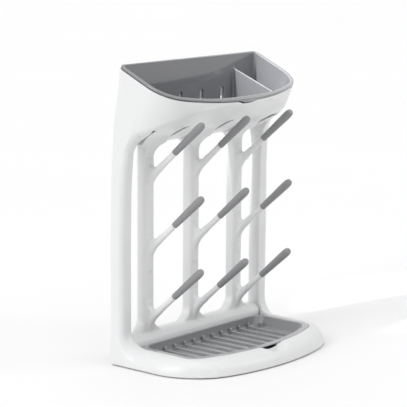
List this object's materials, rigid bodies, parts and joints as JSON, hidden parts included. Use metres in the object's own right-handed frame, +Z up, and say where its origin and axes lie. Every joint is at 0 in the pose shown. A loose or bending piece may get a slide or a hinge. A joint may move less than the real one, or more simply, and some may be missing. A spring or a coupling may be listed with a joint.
{
  "type": "bottle drying rack",
  "caption": "Upright drying rack: pegs with soft tips on slim uprights in a C-shaped stand, lift-out wedge basket on top and ribbed drip tray in the base.",
  "frame": {"origin": "centre of the footprint's bounding box, on the surface the feet stand on", "axes": "+Z up, -Y towards the open front where bottles go on, +X to the right seen from the front"},
  "size_m": [0.31, 0.171, 0.3942],
  "materials": {
    "white_plastic": "satin moulded",
    "grey_plastic": "gloss moulded",
    "soft_tip": "soft-touch matt",
    "foot_rubber": "matt",
    "screw_steel": "plain"
  },
  "bodies": {
    "stand": {"outer_frame": "white_plastic", "pillar_cover_left": "white_plastic", "pillar_cover_right": "white_plastic", "base_plate": "white_plastic", "peg_rack": "white_plastic", "tip_left_bottom": "soft_tip", "tip_left_middle": "soft_tip", "tip_left_top": "soft_tip", "tip_middle_bottom": "soft_tip", "tip_middle_middle": "soft_tip", "tip_middle_top": "soft_tip", "tip_right_bottom": "soft_tip", "tip_right_middle": "soft_tip", "tip_right_top": "soft_tip", "foot_front_left": "foot_rubber", "foot_front_right": "foot_rubber", "foot_back_left": "foot_rubber", "foot_back_right": "foot_rubber", "base_screws": "screw_steel", "rail_screws": "screw_steel", "cover_screws": "screw_steel"},
    "basket_body": {"basket": "grey_plastic"},
    "tray_body": {"drip_tray": "grey_plastic"}
  },
  "joints": [
    {"name": "basket_lift", "type": "slide", "parent": "stand", "child": "basket_body", "axis": [0, 0, 1], "range_m": [0, 0.105]},
    {"name": "tray_lift", "type": "slide", "parent": "stand", "child": "tray_body", "axis": [0, 0, 1], "range_m": [0, 0.026]}
  ]
}
